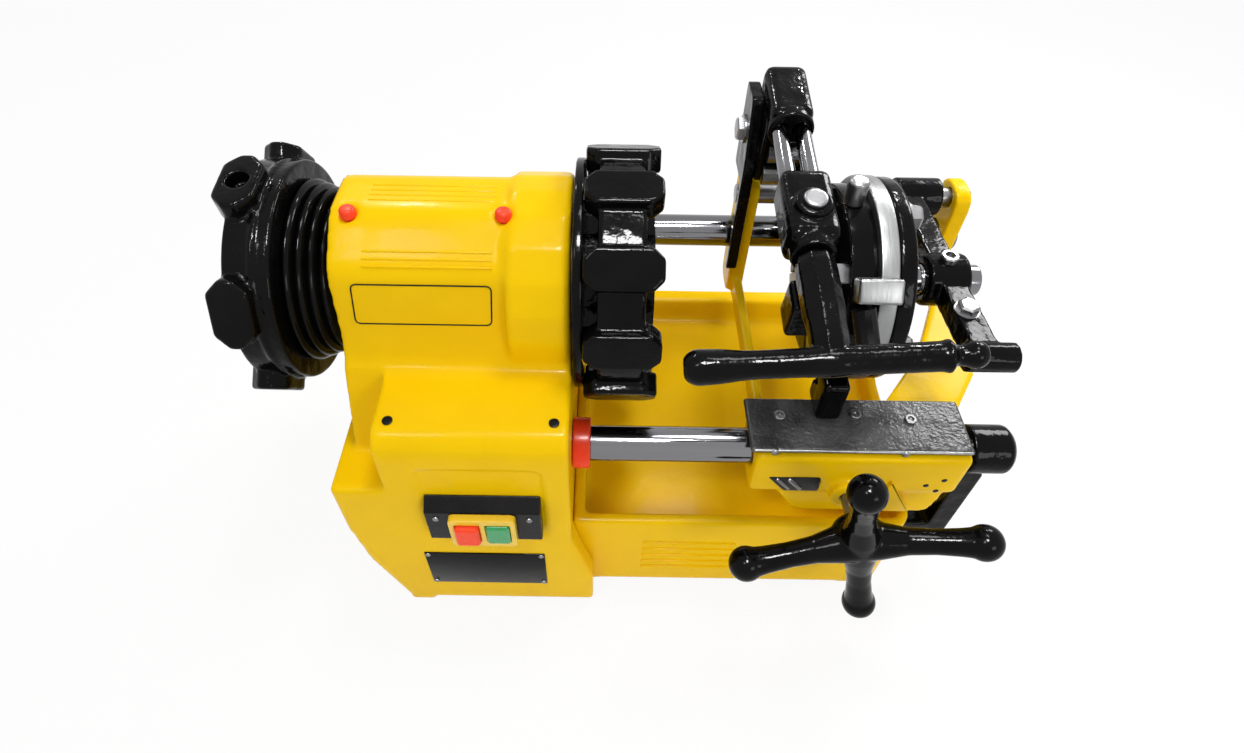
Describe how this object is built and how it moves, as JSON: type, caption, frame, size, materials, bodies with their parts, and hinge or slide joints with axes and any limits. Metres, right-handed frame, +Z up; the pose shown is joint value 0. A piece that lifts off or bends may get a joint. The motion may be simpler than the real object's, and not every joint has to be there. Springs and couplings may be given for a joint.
{
  "type": "pipe threading machine",
  "caption": "Bench pipe threading machine with a hollow spindle, lobed hammer chuck, rear centring chuck and a sliding carriage carrying cutter, die head and reamer.",
  "frame": {"origin": "under the middle of the whole machine, at floor level", "axes": "+X along the spindle from the rear chuck to the tool carriage, -Y towards the operator, +Z up"},
  "size_m": [0.5394, 0.292, 0.3566],
  "materials": {
    "aluminium": "machined light grey",
    "black_enamel": "gloss black enamel",
    "black_plastic": "black moulded plastic",
    "bronze": "bearing bronze",
    "chrome": "bright plated",
    "green_plastic": "green moulded plastic",
    "motor_grey": "grey primer",
    "red_plastic": "red moulded plastic",
    "steel": "machined steel",
    "yellow_paint": "gloss yellow enamel",
    "yellow_plastic": "yellow moulded plastic"
  },
  "bodies": {
    "bed": {"base_casting": "yellow_paint", "headstock_housing": "yellow_paint", "bearing_front": "bronze", "bearing_rear": "bronze", "front_rail": "chrome", "rear_rail": "chrome", "rail_collar": "red_plastic", "rail_end_bracket": "black_enamel", "switch_plate": "black_plastic", "switch_bezel": "yellow_plastic", "oil_cap_left": "red_plastic", "oil_cap_right": "red_plastic", "motor_body": "motor_grey", "gear_plate": "motor_grey"},
    "spindle": {"spindle_tube": "steel", "spindle_gear": "steel", "hammer_chuck_body": "black_enamel", "rear_chuck_body": "black_enamel"},
    "hammer_wheel": {"hammer_chuck_wheel": "black_enamel"},
    "hammer_jaw_a": {"hammer_jaw_1": "steel"},
    "hammer_jaw_b": {"hammer_jaw_2": "steel"},
    "hammer_jaw_c": {"hammer_jaw_3": "steel"},
    "rear_wheel": {"rear_chuck_wheel": "black_enamel"},
    "rear_jaw_a": {"rear_jaw_1": "steel"},
    "rear_jaw_b": {"rear_jaw_2": "steel"},
    "rear_jaw_c": {"rear_jaw_3": "steel"},
    "layshaft": {"layshaft_gears": "steel"},
    "rotor": {"motor_rotor": "steel"},
    "carriage": {"carriage_casting": "yellow_paint", "carriage_cover": "black_enamel", "tool_shaft": "steel", "cutter_bracket": "black_enamel", "cutter_pin": "steel"},
    "feed_wheel": {"handwheel": "black_enamel", "pinion_shaft": "steel"},
    "cutter": {"cutter_housing": "black_enamel", "cutter_yoke": "black_enamel", "guide_rod_1": "chrome", "guide_rod_2": "chrome"},
    "cutter_jaw": {"cutter_slide": "black_enamel"},
    "cutter_disc": {"cutter_wheel": "steel"},
    "roller_a": {"cutter_roller_1": "steel"},
    "roller_b": {"cutter_roller_2": "steel"},
    "cutter_handle": {"cutter_screw": "black_enamel", "cutter_t_bar": "black_enamel"},
    "die_head": {"die_head_body": "black_enamel", "die_head_cover": "black_enamel", "die_knob": "chrome"},
    "cam": {"cam_ring": "aluminium", "cam_lever": "black_plastic"},
    "chaser_a": {"chaser_1": "steel"},
    "chaser_b": {"chaser_2": "steel"},
    "chaser_c": {"chaser_3": "steel"},
    "chaser_d": {"chaser_4": "steel"},
    "reamer": {"reamer_arm": "black_enamel"},
    "reamer_tool": {"reamer_bar": "chrome", "reamer_cone": "steel"},
    "on_key": {"on_button": "green_plastic"},
    "off_key": {"off_button": "red_plastic"}
  },
  "joints": [
    {"name": "spindle_spin", "type": "hinge", "parent": "bed", "child": "spindle", "pos_m": [-0.0263, 0.021, 0.255], "axis": [1, 0, 0], "continuous": true},
    {"name": "hammer_wheel_turn", "type": "hinge", "parent": "spindle", "child": "hammer_wheel", "pos_m": [-0.0263, 0.021, 0.255], "axis": [1, 0, 0], "range_deg": [0, 120]},
    {"name": "rear_wheel_turn", "type": "hinge", "parent": "spindle", "child": "rear_wheel", "pos_m": [-0.0263, 0.021, 0.255], "axis": [1, 0, 0], "range_deg": [0, 120]},
    {"name": "hammer_jaw_a_slide", "type": "slide", "parent": "spindle", "child": "hammer_jaw_a", "axis": [0, 0.5, -0.866], "range_m": [0, 0.012]},
    {"name": "rear_jaw_a_slide", "type": "slide", "parent": "spindle", "child": "rear_jaw_a", "axis": [0, 0.5, -0.866], "range_m": [0, 0.012]},
    {"name": "hammer_jaw_b_slide", "type": "slide", "parent": "spindle", "child": "hammer_jaw_b", "axis": [0, 0.5, 0.866], "range_m": [0, 0.012]},
    {"name": "rear_jaw_b_slide", "type": "slide", "parent": "spindle", "child": "rear_jaw_b", "axis": [0, 0.5, 0.866], "range_m": [0, 0.012]},
    {"name": "hammer_jaw_c_slide", "type": "slide", "parent": "spindle", "child": "hammer_jaw_c", "axis": [0, -1, 0], "range_m": [0, 0.012]},
    {"name": "rear_jaw_c_slide", "type": "slide", "parent": "spindle", "child": "rear_jaw_c", "axis": [0, -1, 0], "range_m": [0, 0.012]},
    {"name": "layshaft_spin", "type": "hinge", "parent": "bed", "child": "layshaft", "pos_m": [-0.0263, 0.021, 0.1945], "axis": [1, 0, 0], "continuous": true},
    {"name": "rotor_spin", "type": "hinge", "parent": "bed", "child": "rotor", "pos_m": [-0.0263, 0.021, 0.1605], "axis": [1, 0, 0], "continuous": true},
    {"name": "carriage_slide", "type": "slide", "parent": "bed", "child": "carriage", "axis": [1, 0, 0], "range_m": [-0.045, 0]},
    {"name": "feed_wheel_turn", "type": "hinge", "parent": "carriage", "child": "feed_wheel", "pos_m": [0.1537, -0.124, 0.142], "axis": [0, 1, 0], "range_deg": [0, 300]},
    {"name": "cutter_swing", "type": "hinge", "parent": "carriage", "child": "cutter", "pos_m": [0.1017, 0.121, 0.313], "axis": [1, 0, 0], "range_deg": [-75, 18]},
    {"name": "cutter_handle_turn", "type": "hinge", "parent": "cutter", "child": "cutter_handle", "pos_m": [0.1017, -0.099, 0.301], "axis": [0, 0.9848, 0.1736], "range_deg": [0, 1440]},
    {"name": "cutter_jaw_slide", "type": "slide", "parent": "cutter", "child": "cutter_jaw", "axis": [0, 0.9848, 0.1736], "range_m": [0, 0.024]},
    {"name": "cutter_disc_spin", "type": "hinge", "parent": "cutter_jaw", "child": "cutter_disc", "pos_m": [0.1017, -0.02659, 0.2762], "axis": [1, 0, 0], "continuous": true},
    {"name": "roller_a_spin", "type": "hinge", "parent": "cutter", "child": "roller_a", "pos_m": [0.1017, 0.09425, 0.31071], "axis": [1, 0, 0], "continuous": true},
    {"name": "roller_b_spin", "type": "hinge", "parent": "cutter", "child": "roller_b", "pos_m": [0.1017, 0.09807, 0.28904], "axis": [1, 0, 0], "continuous": true},
    {"name": "die_head_swing", "type": "hinge", "parent": "carriage", "child": "die_head", "pos_m": [0.1352, 0.123, 0.253], "axis": [1, 0, 0], "range_deg": [-100, 0]},
    {"name": "cam_turn", "type": "hinge", "parent": "die_head", "child": "cam", "pos_m": [0.1507, 0.021, 0.255], "axis": [1, 0, 0], "range_deg": [0, 25]},
    {"name": "chaser_a_slide", "type": "slide", "parent": "die_head", "child": "chaser_a", "axis": [0, -0.7071, 0.7071], "range_m": [0, 0.005]},
    {"name": "chaser_b_slide", "type": "slide", "parent": "die_head", "child": "chaser_b", "axis": [0, -0.7071, -0.7071], "range_m": [0, 0.005]},
    {"name": "chaser_c_slide", "type": "slide", "parent": "die_head", "child": "chaser_c", "axis": [0, 0.7071, -0.7071], "range_m": [0, 0.005]},
    {"name": "chaser_d_slide", "type": "slide", "parent": "die_head", "child": "chaser_d", "axis": [0, 0.7071, 0.7071], "range_m": [0, 0.005]},
    {"name": "reamer_swing", "type": "hinge", "parent": "carriage", "child": "reamer", "pos_m": [0.2187, 0.123, 0.253], "axis": [1, 0, 0], "range_deg": [-100, 0]},
    {"name": "reamer_feed", "type": "slide", "parent": "reamer", "child": "reamer_tool", "axis": [1, 0, 0], "range_m": [-0.022, 0]},
    {"name": "on_key_press", "type": "slide", "parent": "bed", "child": "on_key", "axis": [0, 1, 0], "range_m": [0, 0.003], "stiffness_N_per_m": 300},
    {"name": "off_key_press", "type": "slide", "parent": "bed", "child": "off_key", "axis": [0, 1, 0], "range_m": [0, 0.003], "stiffness_N_per_m": 300}
  ],
  "couplings": [
    {"joint": "hammer_jaw_a_slide", "follows": "hammer_wheel_turn", "m_per_rad": 0.0057296},
    {"joint": "rear_jaw_a_slide", "follows": "rear_wheel_turn", "m_per_rad": 0.0057296},
    {"joint": "hammer_jaw_b_slide", "follows": "hammer_wheel_turn", "m_per_rad": 0.0057296},
    {"joint": "rear_jaw_b_slide", "follows": "rear_wheel_turn", "m_per_rad": 0.0057296},
    {"joint": "hammer_jaw_c_slide", "follows": "hammer_wheel_turn", "m_per_rad": 0.0057296},
    {"joint": "rear_jaw_c_slide", "follows": "rear_wheel_turn", "m_per_rad": 0.0057296},
    {"joint": "layshaft_spin", "follows": "spindle_spin", "ratio": -3.5},
    {"joint": "rotor_spin", "follows": "spindle_spin", "ratio": 6.6111},
    {"joint": "feed_wheel_turn", "follows": "carriage_slide", "rad_per_m": -116.28},
    {"joint": "cutter_jaw_slide", "follows": "cutter_handle_turn", "m_per_rad": 0.00095493},
    {"joint": "chaser_a_slide", "follows": "cam_turn", "m_per_rad": 0.011459},
    {"joint": "chaser_b_slide", "follows": "cam_turn", "m_per_rad": 0.011459},
    {"joint": "chaser_c_slide", "follows": "cam_turn", "m_per_rad": 0.011459},
    {"joint": "chaser_d_slide", "follows": "cam_turn", "m_per_rad": 0.011459}
  ]
}
